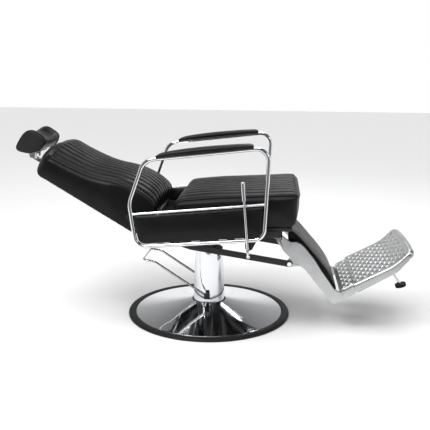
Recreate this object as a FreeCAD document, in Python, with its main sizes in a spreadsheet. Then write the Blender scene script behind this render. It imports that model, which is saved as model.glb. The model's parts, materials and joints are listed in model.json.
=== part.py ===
import FreeCAD, Part
import math
import os
import Sketcher

# Hydraulic reclining barber chair, in millimetres.
# It faces +X with +Z up, and the swivel axis stands on the origin at floor level.
# The rest position is the laid-back one: backrest down, legrest raised, footplate out.

os.makedirs("parts", exist_ok=True)
doc = FreeCAD.newDocument("barber_chair")

SIZES = {
    # base and pump
    "base_radius": 350, "ring_width": 32, "ring_height": 11.5, "ring_skirt": 14.5,
    "floor_plate_thick": 8, "dome_wall": 2.2, "dome_top": 60, "dome_hole_radius": 73,
    "flange_radius": 85, "flange_top": 20, "pump_radius": 48, "pump_top": 285,
    "bolt_radius": 5, "bolt_end": 2,
    "ram_radius": 20, "ram_bottom": 121.5, "ram_top": 352, "running_gap": 0.05,
    "seal_radius": 24.3, "seal_height": 6,
    "sleeve_low_radius": 68, "sleeve_high_radius": 59, "sleeve_wall": 2.5,
    "sleeve_bottom": 50, "sleeve_top": 288, "cap_thick": 3,
    # pedal
    "pedal_height": 98, "pedal_shaft_radius": 7, "pedal_half_width": 88,
    "pedal_rod_radius": 5, "bush_radius": 10, "cam_length": 40, "cam_thick": 10,
    "plunger_radius": 6, "plunger_x": 35, "plunger_length": 55,
    # swivelling seat structure
    "hub_bottom": 296, "hub_top": 398, "plate_thick": 8, "tube_side": 25, "tube_wall": 2,
    "frame_half_width": 261, "frame_rear": -155, "frame_front": 300,
    "seat_board_thick": 12, "seat_half_width": 264,
    # arm loops
    "arm_plane": 297, "arm_tube_radius": 8, "cross_bar_radius": 5,
    "panel_thick": 24, "pad_width": 58,
    # recline hinge, link and legrest pivots
    "hinge_x": -250, "hinge_height": 430, "hinge_pin_radius": 8,
    "link_rear_x": -237, "link_rear_height": 390.36,
    "link_front_x": 341.5, "link_front_height": 274.7,
    "link_knee_x": -60, "link_knee_height": 333.4,
    "link_width": 25, "link_thick": 8, "link_inner": 157,
    "link_rod_radius": 6, "link_pin_radius": 5, "lug_hole_radius": 6.8,
    "leg_pivot_x": 296, "leg_pivot_height": 386, "leg_bolt_radius": 6,
    "rail_inner": 166, "rail_thick": 16,
    # backrest and headrest
    "back_half_width": 233, "back_angle": 31.06, "back_corner_x": -642,
    "back_corner_height": 611, "stem_width": 50, "stem_thick": 5, "stem_depth": 12,
    "head_half_width": 97, "head_pivot_x": -752.5, "head_pivot_height": 675.7,
    # footplate
    "foot_pivot_x": 556, "foot_pivot_height": 160, "tread_half_width": 193,
    "tread_wall": 6, "stop_rod_radius": 5, "stop_foot_radius": 23, "stop_foot_thick": 12,
    # recline lock and its lever
    "lock_y": -200, "lock_radius": 15, "lock_rod_radius": 8,
    "lever_x": 178, "lever_height": 368, "lever_y": -320, "lever_shaft_radius": 6,
    "lever_bar_radius": 4.5, "grip_radius": 8, "grip_length": 72,
}

sheet = doc.addObject("Spreadsheet::Sheet", "sizes")
for row, (alias, number) in enumerate(SIZES.items(), start=1):
    sheet.set("A%d" % row, alias)
    sheet.set("B%d" % row, str(number))
    sheet.setAlias("B%d" % row, alias)
doc.recompute()

SIDES = (("left", 1), ("right", -1))
nodes = {}


def size(alias):
    """A dimension read back from the spreadsheet."""
    return float(getattr(sheet, alias))


def number(expression):
    """The value of an expression on the spreadsheet's cells."""
    value = sheet.evalExpression(expression)
    return float(getattr(value, "Value", value))


def keep(piece, label):
    """Register a finished sub-part under the name of its node."""
    piece.Label = label
    nodes[label] = piece
    return piece


def vector(x, y, z):
    return FreeCAD.Vector(x, y, z)


# ---------------------------------------------------------------- helpers: Part primitives
def cylinder(name, radius, length, start, direction):
    """A cylinder of bound radius and length, from start along direction."""
    piece = doc.addObject("Part::Cylinder", name)
    piece.setExpression("Radius", radius)
    piece.setExpression("Height", length)
    turn = FreeCAD.Rotation(vector(0, 0, 1), vector(*direction))
    piece.Placement = FreeCAD.Placement(vector(*start), turn)
    return piece


def block(name, lengths, corner, turn=FreeCAD.Rotation()):
    """A box of bound lengths with its lowest corner at corner."""
    piece = doc.addObject("Part::Box", name)
    for side, expression in zip(("Length", "Width", "Height"), lengths):
        piece.setExpression(side, expression)
    piece.Placement = FreeCAD.Placement(vector(*corner), turn)
    return piece


def cut(name, base, tools):
    """The base less each tool in turn."""
    piece = base
    for index, tool in enumerate(tools):
        step = doc.addObject("Part::Cut", "%s_cut%d" % (name, index))
        step.Base = piece
        step.Tool = tool
        piece = step
    return piece


def join(name, pieces):
    """Pieces welded or cast into one."""
    piece = doc.addObject("Part::MultiFuse", name)
    piece.Shapes = pieces
    piece.Refine = True
    return piece


def group(name, pieces):
    """Separate solids that share one node."""
    piece = doc.addObject("Part::Compound", name)
    piece.Links = pieces
    return piece


# ---------------------------------------------------------------- helpers: sketched bodies
def new_body(name):
    """A body and its upright XZ plane."""
    body = doc.addObject("PartDesign::Body", name)
    plane = [item for item in body.Origin.OriginFeatures if item.Role == "XZ_Plane"][0]
    return body, plane


def new_sketch(body, plane, name):
    sketch = body.newObject("Sketcher::SketchObject", name)
    sketch.AttachmentSupport = [(plane, "")]
    sketch.MapMode = "FlatFace"
    return sketch


def pin_point(sketch, geometry, end, x, z):
    """Tie one end of a sketch element to bound distances from the origin."""
    for kind, expression in (("DistanceX", x), ("DistanceY", z)):
        rule = Sketcher.Constraint(kind, -1, 1, geometry, end, number(expression))
        index = sketch.addConstraint(rule)
        sketch.setExpression("Constraints[%d]" % index, expression)


def text(value):
    """A coordinate as an expression: numbers stand for themselves."""
    return value if isinstance(value, str) else "%.10g" % value


def draw_outline(sketch, corners):
    """A closed outline of straight runs through the corners (x, z)."""
    corners = [(text(x), text(z)) for x, z in corners]
    spots = [vector(number(x), number(z), 0) for x, z in corners]
    first = sketch.GeometryCount
    count = len(spots)
    for index in range(count):
        sketch.addGeometry(Part.LineSegment(spots[index], spots[(index + 1) % count]), False)
    for index in range(count):
        after = first + (index + 1) % count
        sketch.addConstraint(Sketcher.Constraint("Coincident", first + index, 2, after, 1))
        pin_point(sketch, first + index, 1, *corners[index])


def draw_hole(sketch, centre, radius):
    x, z = (text(value) for value in centre)
    spot = vector(number(x), number(z), 0)
    circle = sketch.addGeometry(Part.Circle(spot, vector(0, 0, 1), number(radius)), False)
    pin_point(sketch, circle, 3, x, z)
    index = sketch.addConstraint(Sketcher.Constraint("Radius", circle, number(radius)))
    sketch.setExpression("Constraints[%d]" % index, radius)


def corner_edges(shape, corner):
    """Names of the cross-wise edges that stand on one corner of an outline."""
    x, z = (number(text(value)) for value in corner)
    names = []
    for index, edge in enumerate(shape.Edges, start=1):
        ends = [vertex.Point for vertex in edge.Vertexes]
        if len(ends) == 2 and all(abs(p.x - x) + abs(p.z - z) < 1e-4 for p in ends):
            names.append("Edge%d" % index)
    return names


def plate(name, corners, thick, y_low, holes=(), rounds=()):
    """An upright plate: an outline in XZ, thick across Y, from y_low upwards.

    rounds lists (radius, corners): each corner's edge is rounded."""
    body, plane = new_body(name)
    sketch = new_sketch(body, plane, name + "_outline")
    draw_outline(sketch, corners)
    for centre, radius in holes:
        draw_hole(sketch, centre, radius)
    pad = body.newObject("PartDesign::Pad", name + "_pad")
    pad.Profile = sketch
    pad.setExpression("Length", thick)
    doc.recompute()
    tip = pad
    for index, (radius, spots) in enumerate(rounds):
        edges = []
        for spot in spots:
            edges += corner_edges(tip.Shape, spot)
        fillet = body.newObject("PartDesign::Fillet", "%s_round%d" % (name, index))
        fillet.Base = (tip, edges)
        fillet.Radius = radius
        doc.recompute()
        tip = fillet
    body.Tip = tip
    body.Placement = FreeCAD.Placement(vector(0, y_low + number(thick), 0), FreeCAD.Rotation())
    return body


def turned(name, corners, arcs=()):
    """A body turned about the vertical axis from an outline (radius, z).

    arcs lists (index, middle): that run of the outline bends through middle."""
    body, plane = new_body(name)
    sketch = new_sketch(body, plane, name + "_section")
    middles = dict(arcs)
    corners = [(text(x), text(z)) for x, z in corners]
    spots = [vector(number(x), number(z), 0) for x, z in corners]
    count = len(spots)
    for index in range(count):
        start, end = spots[index], spots[(index + 1) % count]
        if index in middles:
            sketch.addGeometry(Part.Arc(start, vector(*middles[index], 0), end), False)
        else:
            sketch.addGeometry(Part.LineSegment(start, end), False)
            pin_point(sketch, index, 1, *corners[index])
    turn = body.newObject("PartDesign::Revolution", name + "_turn")
    turn.Profile = sketch
    turn.ReferenceAxis = (sketch, ["V_Axis"])
    turn.Angle = 360
    body.Tip = turn
    return body


def strap_outline(points, width):
    """Corners of a strip of the given width along a line of points, with its end corners."""
    half = width / 2
    spots = [vector(x, 0, z) for x, z in points]
    first = (spots[1] - spots[0]).normalize()
    last = (spots[-1] - spots[-2]).normalize()
    spots[0] = spots[0] - first * half
    spots[-1] = spots[-1] + last * half
    upper, lower = [], []
    for index, spot in enumerate(spots):
        before = (spot - spots[index - 1]).normalize() if index else first
        after = (spots[index + 1] - spot).normalize() if index < len(spots) - 1 else last
        middle = (before + after).normalize()
        reach = half / middle.dot(after)
        side = vector(-middle.z, 0, middle.x) * reach
        upper.append((spot.x + side.x, spot.z + side.z))
        lower.append((spot.x - side.x, spot.z - side.z))
    return upper + lower[::-1], (upper[0], upper[-1], lower[0], lower[-1])


# ---------------------------------------------------------------- helpers: bent round bar
def bent_bar(name, radius, points, bends, closed=False):
    """Round bar along straight runs joined by tangent bends: runs and bends welded up."""
    spots = [vector(*point) for point in points]
    count = len(spots)
    inner = range(count) if closed else range(1, count - 1)
    entry, leave = {}, {}
    solids = []
    for index in inner:
        corner = spots[index]
        back = (spots[index - 1] - corner).normalize()
        ahead = (spots[(index + 1) % count] - corner).normalize()
        half = math.acos(max(-1, min(1, back.dot(ahead)))) / 2
        bend = bends[index]
        reach = bend / math.tan(half)
        entry[index] = corner + back * reach
        leave[index] = corner + ahead * reach
        centre = corner + (back + ahead).normalize() * (bend / math.sin(half))
        normal = (entry[index] - centre).cross(leave[index] - centre).normalize()
        ring = Part.Wire(Part.Circle(entry[index], back, radius).toShape())
        swept = Part.Face(ring).revolve(centre, normal, 180 - math.degrees(2 * half))
        solids.append(swept)
    for index in range(count if closed else count - 1):
        after = (index + 1) % count
        start = leave.get(index, spots[index])
        end = entry.get(after, spots[after])
        run = end - start
        solids.append(Part.makeCylinder(radius, run.Length, start, run))
    shape = solids[0].fuse(solids[1:]).removeSplitter()
    piece = doc.addObject("Part::Feature", name)
    piece.Shape = shape.Solids[0] if len(shape.Solids) == 1 else shape
    piece.Placement = FreeCAD.Placement()
    return piece


# ================================================================ base
def bolt_cylinders(name, radius):
    """Four cylinders on the flange's bolt circle, down through the flange and the floor plate."""
    spots = []
    for index in range(4):
        angle = math.radians(45 + 90 * index)
        ring = size("flange_radius") - 17
        spots.append(cylinder("%s%d" % (name, index), radius, "sizes.flange_top - sizes.bolt_end",
                              (ring * math.cos(angle), ring * math.sin(angle), size("bolt_end")),
                              (0, 0, 1)))
    return spots


def base_parts():
    inner = "sizes.base_radius - sizes.ring_skirt"
    lip = "sizes.base_radius - sizes.ring_width"
    disc = turned("floor_plate_body", [
        (0, 0), (inner, 0), (inner, "sizes.floor_plate_thick"), (0, "sizes.floor_plate_thick"),
    ])
    keep(cut("floor_plate", disc, bolt_cylinders("plate_bolt_hole", "sizes.bolt_radius")), "floor_plate")
    keep(turned("base_ring_body", [
        (inner, 0), ("sizes.base_radius", 0), ("sizes.base_radius", 7),
        ("sizes.base_radius - 4", "sizes.ring_height"), (lip, "sizes.ring_height"),
        (lip, "sizes.floor_plate_thick"), (inner, "sizes.floor_plate_thick"),
    ]), "base_trim_ring")
    rim = size("base_radius") - size("ring_width") - 1.5
    mouth = size("dome_hole_radius")
    wall = size("dome_wall")
    low, high = size("floor_plate_thick") + 0.2, size("dome_top")
    middle = (rim + mouth) / 2
    sag = (low + high) / 2 - 4
    keep(turned("base_dome_body", [
        (rim, low), (rim, low + wall), (mouth, high), (mouth, high - wall),
    ], arcs=((1, (middle, sag + wall)), (3, (middle, sag)))), "base_dome")


def pump_parts():
    gap = "sizes.running_gap"
    bore = "sizes.ram_radius + " + gap
    body = turned("pump_body_turned", [
        (0, "sizes.floor_plate_thick"), ("sizes.flange_radius", "sizes.floor_plate_thick"),
        ("sizes.flange_radius", "sizes.flange_top"), ("sizes.pump_radius + 5", "sizes.flange_top"),
        ("sizes.pump_radius", "sizes.flange_top + 5"),
        ("sizes.pump_radius", "sizes.pump_top"), ("sizes.seal_radius", "sizes.pump_top"),
        ("sizes.seal_radius", "sizes.pump_top - sizes.seal_height"),
        (bore, "sizes.pump_top - sizes.seal_height"), (bore, "sizes.ram_bottom - 1.5"),
        (0, "sizes.ram_bottom - 1.5"),
    ])
    reach = size("pump_radius") + 12
    height = size("pedal_height")
    cross_hole = cylinder("pump_cross_hole", "sizes.bush_radius", "2 * sizes.pump_radius + 24",
                          (0, -reach, height), (0, 1, 0))
    low_slot = block("pump_low_slot", ("36", "18", "35"), (-12, -9, height - 16))
    high_slot = block("pump_high_slot", ("30", "18", "42"), (24, -9, height - 18))
    bore_cut = cylinder("pump_plunger_bore", "sizes.plunger_radius + " + gap, "66",
                        (size("plunger_x"), 0, height + 18), (0, 0, 1))
    holes = bolt_cylinders("flange_bolt_hole", "sizes.bolt_radius")
    keep(cut("pump_body", body, [cross_hole, low_slot, high_slot, bore_cut] + holes), "pump_body")
    keep(turned("ram_seal_ring", [
        ("sizes.ram_radius + 0.06", "sizes.pump_top - sizes.seal_height"),
        ("sizes.seal_radius", "sizes.pump_top - sizes.seal_height"),
        ("sizes.seal_radius", "sizes.pump_top"), ("sizes.ram_radius + 0.06", "sizes.pump_top"),
    ]), "ram_seal")
    sleeve = turned("column_sleeve_turned", [
        ("sizes.sleeve_low_radius", "sizes.sleeve_bottom"),
        ("sizes.sleeve_high_radius", "sizes.sleeve_top"),
        ("sizes.sleeve_high_radius - sizes.sleeve_wall", "sizes.sleeve_top"),
        ("sizes.sleeve_low_radius - sizes.sleeve_wall", "sizes.sleeve_bottom"),
    ])
    side_hole = cylinder("sleeve_side_hole", "sizes.bush_radius", "2 * sizes.sleeve_low_radius + 20",
                         (0, -size("sleeve_low_radius") - 10, height), (0, 1, 0))
    keep(cut("column_sleeve", sleeve, [side_hole]), "column_sleeve")
    keep(turned("column_cap_ring", [
        ("sizes.ram_radius + 0.8", "sizes.sleeve_top"), ("sizes.sleeve_high_radius", "sizes.sleeve_top"),
        ("sizes.sleeve_high_radius - 1", "sizes.sleeve_top + sizes.cap_thick"),
        ("sizes.ram_radius + 0.8", "sizes.sleeve_top + sizes.cap_thick"),
    ]), "column_cap")
    bolts = []
    for index, shank in enumerate(bolt_cylinders("bolt_shank", "sizes.bolt_radius")):
        base = shank.Placement.Base
        head = cylinder("bolt_head%d" % index, "1.7 * sizes.bolt_radius", "sizes.bolt_radius",
                        (base.x, base.y, size("flange_top")), (0, 0, 1))
        bolts.append(join("pump_bolt%d" % index, [shank, head]))
    keep(group("pump_bolt_set", bolts), "pump_bolts")
    bushes = []
    for side, sign in SIDES:
        outer = cylinder("bush_outer_" + side, "sizes.bush_radius", "34",
                         (0, sign * 12, height), (0, sign, 0))
        hollow = cylinder("bush_bore_" + side, "sizes.pedal_shaft_radius + " + gap, "34",
                          (0, sign * 12, height), (0, sign, 0))
        bushes.append(cut("pedal_bush_" + side, outer, [hollow]))
    keep(group("pedal_bush_set", bushes), "pedal_bushes")


# ================================================================ pedal and plunger
def pedal_parts():
    height = size("pedal_height")
    half = size("pedal_half_width")
    # one forging: the cross shaft, the cam arm under the plunger and a clamp at each end
    forging = [cylinder("pedal_shaft_bar", "sizes.pedal_shaft_radius", "2 * (sizes.pedal_half_width - 8)",
                        (0, -half + 8, height), (0, 1, 0))]
    forging.append(block("pump_cam_arm", ("sizes.cam_length", "12", "sizes.cam_thick"),
                         (0, -6, height - size("cam_thick") / 2)))
    forging.append(cylinder("pump_cam_boss", "sizes.pedal_shaft_radius + 2.5", "12",
                            (0, -6, height), (0, 1, 0)))
    for side, sign in SIDES:
        forging.append(block("clamp_block_" + side, ("24", "16", "24"), (-12, sign * half - 8, height - 12)))
    keep(join("pedal_forging", forging), "pedal_shaft")
    # the bar rises from the clamps and flattens out at the foot end
    rise = (-225, height + 145)
    end = (-272, height + 151)
    slope = math.atan2(rise[1] - height, -rise[0])
    start = (-8 * math.cos(slope), height + 8 * math.sin(slope))
    path = [(start[0], -half, start[1]), (rise[0], -half, rise[1]), (end[0], -half, end[1]),
            (end[0], half, end[1]), (rise[0], half, rise[1]), (start[0], half, start[1])]
    bends = {1: 45, 2: 14, 3: 14, 4: 45}
    keep(bent_bar("pedal_bar_bent", size("pedal_rod_radius"), path, bends), "pedal_bar")
    keep(cylinder("pump_plunger_pin", "sizes.plunger_radius", "sizes.plunger_length",
                  (size("plunger_x"), 0, height + size("cam_thick") / 2 + 1.5), (0, 0, 1)), "pump_plunger")


# ================================================================ ram and seat structure
def seat_structure():
    keep(cylinder("lift_ram_bar", "sizes.ram_radius", "sizes.ram_top - sizes.ram_bottom",
                  (0, 0, size("ram_bottom")), (0, 0, 1)), "lift_ram")
    bore = "sizes.ram_radius + sizes.running_gap"
    keep(turned("swivel_hub_turned", [
        (bore, "sizes.hub_bottom"), (36, "sizes.hub_bottom"), (40, "sizes.hub_bottom + 5"),
        (45, "sizes.hub_top - 16"), (62, "sizes.hub_top"), (0, "sizes.hub_top"),
        (0, "sizes.ram_top + 2"), (bore, "sizes.ram_top + 2"),
    ]), "swivel_hub")
    top = size("hub_top") + size("plate_thick")
    keep(plate("mounting_plate_body", [
        (-120, "sizes.hub_top"), (120, "sizes.hub_top"),
        (120, "sizes.hub_top + sizes.plate_thick"), (-120, "sizes.hub_top + sizes.plate_thick"),
    ], "260", -130), "mounting_plate")
    side = size("tube_side")
    outer = size("frame_half_width")
    tubes = []
    for name, sign in SIDES:
        low = sign * outer - (side if sign > 0 else 0)
        shell = block("frame_rail_" + name, ("sizes.frame_front - sizes.frame_rear", "sizes.tube_side",
                                              "sizes.tube_side"), (size("frame_rear"), low, top))
        inside = block("frame_rail_bore_" + name,
                       ("sizes.frame_front - sizes.frame_rear - 6", "sizes.tube_side - 2 * sizes.tube_wall",
                        "sizes.tube_side - 2 * sizes.tube_wall"),
                       (size("frame_rear") + 3, low + 2, top + 2))
        tubes.append(cut("frame_side_" + name, shell, [inside]))
    span = 2 * (outer - side)
    for index, x in enumerate((-142.5, -92, 68, 243)):
        shell = block("frame_cross%d" % index, ("sizes.tube_side", text(span), "sizes.tube_side"),
                      (x, -span / 2, top))
        inside = block("frame_cross_bore%d" % index,
                       ("sizes.tube_side - 2 * sizes.tube_wall", text(span - 4),
                        "sizes.tube_side - 2 * sizes.tube_wall"), (x + 2, -span / 2 + 2, top + 2))
        tubes.append(cut("frame_bar%d" % index, shell, [inside]))
    keep(join("seat_frame_weld", tubes), "seat_frame")
    board = top + side
    keep(plate("seat_board_body", [
        (-112, board), (345, board), (345, text(board + size("seat_board_thick"))),
        (-112, text(board + size("seat_board_thick"))),
    ], "510", -255), "seat_board")
    floor = board + size("seat_board_thick")
    keep(plate("seat_cushion_body", [
        (-118, floor), (-118, 505), (-100, 527), (-70, 547), (10, 560), (330, 587), (358, 583),
        (373, 566), (371, 476), (362, 456), (348, floor),
    ], "2 * sizes.seat_half_width", -size("seat_half_width")), "seat_cushion")


# ================================================================ arms
def arm_line(x):
    """Height of the arm loop's top run at x."""
    rear, front = ARM_CORNERS[3], ARM_CORNERS[4]
    return rear[1] + (front[1] - rear[1]) * (x - rear[0]) / (front[0] - rear[0])


# corners of the arm loop's centre line, from the lower front one round the rear to the top front
ARM_CORNERS = [(238, 407), (-256, 363), (-281, 535), (-222, 703), (252, 760)]
ARM_BENDS = {0: 45, 1: 40, 2: 90, 3: 66, 4: 48}


def arm_parts():
    plane = size("arm_plane")
    tube = size("arm_tube_radius")
    cross_bars, brackets = [], []
    for side, sign in SIDES:
        path = [(x, sign * plane, z) for x, z in ARM_CORNERS]
        keep(bent_bar("arm_loop_%s_bent" % side, tube, path, ARM_BENDS, closed=True), "arm_loop_" + side)
        rear, front = vector(-268, sign * plane, 492), vector(236.5, sign * plane, 543)
        cross_bars.append(cylinder("cross_bar_" + side, "sizes.cross_bar_radius",
                                   text((front - rear).Length), tuple(rear), tuple(front - rear)))
        low = sign * plane - size("panel_thick") / 2
        panel = [(-264, 486), (233, 536), (228.5, 416), (-246.5, 373.5)]
        keep(plate("side_panel_%s_body" % side, panel, "sizes.panel_thick", low,
                   rounds=((34, panel[2:3]), (30, panel[3:4]))), "side_panel_" + side)
        ends = (-178, 194)
        base = [(x, arm_line(x) + tube + 0.3) for x in ends]
        pad = [base[0], (-176, 720), (-140, 735), (-45, 752), (30, 761), (120, 769), (184, 772.5),
               (194, 769), base[1]]
        keep(plate("arm_pad_%s_body" % side, pad, "sizes.pad_width",
                   sign * plane - size("pad_width") / 2), "arm_pad_" + side)
        brackets += arm_tabs(side, sign)
    keep(group("cross_bar_pair", cross_bars), "cross_bars")
    keep(group("arm_bracket_set", brackets), "arm_brackets")


def arm_tabs(side, sign):
    """Two steel tabs that carry an arm loop's lower run on the side of the seat frame."""
    inner = size("frame_half_width")
    tube = size("arm_tube_radius")
    pieces = []
    for index, x in enumerate((-60, 110)):
        rail = ARM_CORNERS[1][1] + (x - ARM_CORNERS[1][0]) * 44 / 494
        low = inner if sign > 0 else -inner - 6
        tab = block("arm_tab_%s%d" % (side, index), ("30", "6", text(428 - rail + 10)), (x - 15, low, rail - 10))
        reach = size("arm_plane") - tube + 1.5 - inner - 6
        stub = cylinder("arm_stub_%s%d" % (side, index), "6", text(reach),
                        (x, sign * (inner + 6), rail), (0, sign, 0))
        pieces.append(join("arm_mount_%s%d" % (side, index), [tab, stub]))
    return pieces


# ================================================================ recline hinge, ears, lever bracket
def hinge_parts():
    hinge = ("sizes.hinge_x", "sizes.hinge_height")
    pivot = ("sizes.leg_pivot_x", "sizes.leg_pivot_height")
    inner = size("frame_half_width")
    plates, ears = [], []
    for side, sign in SIDES:
        outline = [(-268, 412), (-232, 404), (-95, 404), (-95, 430), (-215, 440), (-236, 454),
                   (-262, 452), (-274, 436)]
        low = inner if sign > 0 else -inner - 8
        plates.append(plate("hinge_plate_" + side, outline, "8", low,
                            holes=((hinge, "sizes.hinge_pin_radius + sizes.running_gap"),)))
        ear = [(281, 431), (309, 431), (309, 384), (303, 374), (289, 374), (283, 384)]
        low = sign * 187 - 4
        ears.append(plate("leg_ear_" + side, ear, "8", low,
                          holes=((pivot, "sizes.leg_bolt_radius + sizes.running_gap"),)))
    keep(group("hinge_plate_pair", plates), "hinge_plates")
    keep(group("leg_ear_pair", ears), "leg_ears")
    recline_pins, leg_bolts = [], []
    for side, sign in SIDES:
        hx, hz = size("hinge_x"), size("hinge_height")
        shank = cylinder("recline_shank_" + side, "sizes.hinge_pin_radius", "39",
                         (hx, sign * 234.5, hz), (0, sign, 0))
        head = cylinder("recline_head_" + side, "12", "5", (hx, sign * 269.3, hz), (0, sign, 0))
        recline_pins.append(join("recline_pin_" + side, [shank, head]))
        px, pz = size("leg_pivot_x"), size("leg_pivot_height")
        shank = cylinder("leg_shank_" + side, "sizes.leg_bolt_radius", "30",
                         (px, sign * 164, pz), (0, sign, 0))
        head = cylinder("leg_head_" + side, "10.5", "7", (px, sign * 191.2, pz), (0, sign, 0))
        leg_bolts.append(join("leg_bolt_" + side, [shank, head]))
    keep(group("recline_pin_set", recline_pins), "recline_pins")
    keep(group("leg_bolt_set", leg_bolts), "leg_pivot_bolts")
    lever = ("sizes.lever_x", "sizes.lever_height")
    outline = [(176, 431), (214, 431), (206, 384), (193, 358), (180, 352), (167, 360), (165, 376)]
    keep(plate("lever_bracket_body", outline, "6", -inner - 6,
               holes=((lever, "sizes.lever_shaft_radius + sizes.running_gap"),)), "lever_bracket")


# ================================================================ recline lock and lever
def lock_parts():
    y = size("lock_y")
    z = size("link_rear_height")
    barrel = cylinder("lock_barrel", "sizes.lock_radius", "142", (-212, y, z), (1, 0, 0))
    rear_bore = cylinder("lock_rear_bore", "sizes.lock_rod_radius + sizes.running_gap", "112",
                         (-213, y, z), (1, 0, 0))
    pin_bore = cylinder("lock_pin_bore", "3.05", "23", (-92, y, z), (1, 0, 0))
    saddle = block("lock_saddle", ("20", "40", "15.64"), (-140, y - 20, z))
    keep(cut("lock_cylinder", join("lock_blank", [barrel, saddle]), [rear_bore, pin_bore]), "lock_cylinder")
    # the rod's slotted eye lets the cross rod rise and fall as the hinge arms swing
    eye_x = size("link_rear_x")
    eye = block("lock_eye", ("28", "12", "26"), (eye_x - 14, y - 6, z - 13.5))
    slot = block("lock_eye_slot", ("13.2", "14", "18"), (eye_x - 6.6, y - 7, z - 9.2))
    rod = cylinder("lock_rod_bar", "sizes.lock_rod_radius", "92", (eye_x + 13, y, z), (1, 0, 0))
    keep(cut("lock_rod", join("lock_rod_blank", [eye, rod]), [slot]), "lock_rod")
    lever_x, lever_z, lever_y = size("lever_x"), size("lever_height"), size("lever_y")
    shaft = cylinder("lever_shaft_bar", "sizes.lever_shaft_radius", text(-lever_y + 7 - 194),
                     (lever_x, lever_y - 7, lever_z), (0, 1, 0))
    arm = [(lever_x - 10, lever_z - 9), (lever_x + 10, lever_z - 9), (lever_x + 8, lever_z + 12),
           (lever_x + 4, lever_z + 28), (lever_x - 4, lever_z + 28), (lever_x - 8, lever_z + 12)]
    keep(join("lever_shaft_weld", [shaft, plate("release_arm", arm, "8", y - 4)]), "lever_shaft")
    end = lever_x - 7.5
    keep(cylinder("release_rod_bar", "3", text(end + 80), (-80, y, z), (1, 0, 0)), "release_rod")
    # the hand lever leans back a little as it rises outside the arm loop
    foot, top = vector(179.7, lever_y, 350), vector(161, lever_y, 560)
    lean = (top - foot).normalize()
    keep(cylinder("lever_bar_rod", "sizes.lever_bar_radius", text((top - foot).Length), tuple(foot),
                  tuple(lean)), "lever_bar")
    handle = cylinder("lever_grip_bar", "sizes.grip_radius", "sizes.grip_length", tuple(top), tuple(lean))
    grip = doc.addObject("Part::Chamfer", "lever_grip_rounded")
    grip.Base = handle
    grip.Edges = [(1, 2.5, 2.5), (3, 2.5, 2.5)]
    keep(grip, "lever_grip")
    ball = doc.addObject("Part::Sphere", "lever_ball_knob")
    ball.setExpression("Radius", "sizes.grip_radius - 0.5")
    ball.Placement = FreeCAD.Placement(foot - lean * (size("grip_radius") - 1.5), FreeCAD.Rotation())
    keep(ball, "lever_ball")


# ================================================================ backrest
def along_back(reach, depth):
    """A point reach up the back's rear face from its top corner, depth behind the face."""
    angle = math.radians(size("back_angle"))
    x = size("back_corner_x") - reach * math.cos(angle) - depth * math.sin(angle)
    z = size("back_corner_height") + reach * math.sin(angle) - depth * math.cos(angle)
    return x, z


def slab(reaches, depths):
    """Corners of a slab parallel to the back's rear face."""
    (low, high), (near, far) = reaches, depths
    return [along_back(low, near), along_back(high, near), along_back(high, far), along_back(low, far)]


def back_parts():
    half = size("back_half_width")
    profile = [
        (-266, 400), (-200, 470), (-191, 494), (-189, 520), (-200, 550), (-232, 589), (-262, 606),
        (-312, 627), (-437, 652), (-530, 689), (-608, 726), (-638, 730), (-651, 716), (-657, 696),
        (-668, 650), (-665, 632), (-642, 611), (-280, 393),
    ]
    foam = plate("back_foam", profile, "2 * sizes.back_half_width", -half)
    pocket = plate("back_pocket", slab((-395, -15), (-14, 1)), "420", -210)
    keep(cut("back_cushion", foam, [pocket]), "back_cushion")
    keep(plate("back_board_body", slab((-395, -15), (-14, -2)), "420", -210), "back_board")
    hinge = ("sizes.hinge_x", "sizes.hinge_height")
    tail = ("sizes.link_rear_x", "sizes.link_rear_height")
    arm = [(-252, 385), (-241, 376), (-228, 378), (-222, 390), (-228, 425), (-236, 447), (-284, 496),
           (-312, 472), (-273, 424)]
    arms = []
    for side, sign in SIDES:
        arms.append(plate("back_arm_" + side, arm, "8", sign * 240.5 - 4,
                          holes=((hinge, "sizes.hinge_pin_radius + sizes.running_gap"),
                                 (tail, "sizes.link_rod_radius"))))
    keep(group("back_arm_pair", arms), "back_arms")
    keep(cylinder("link_rod_bar", "sizes.link_rod_radius", "492",
                  (size("link_rear_x"), -246, size("link_rear_height")), (0, 1, 0)), "link_rod")


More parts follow.
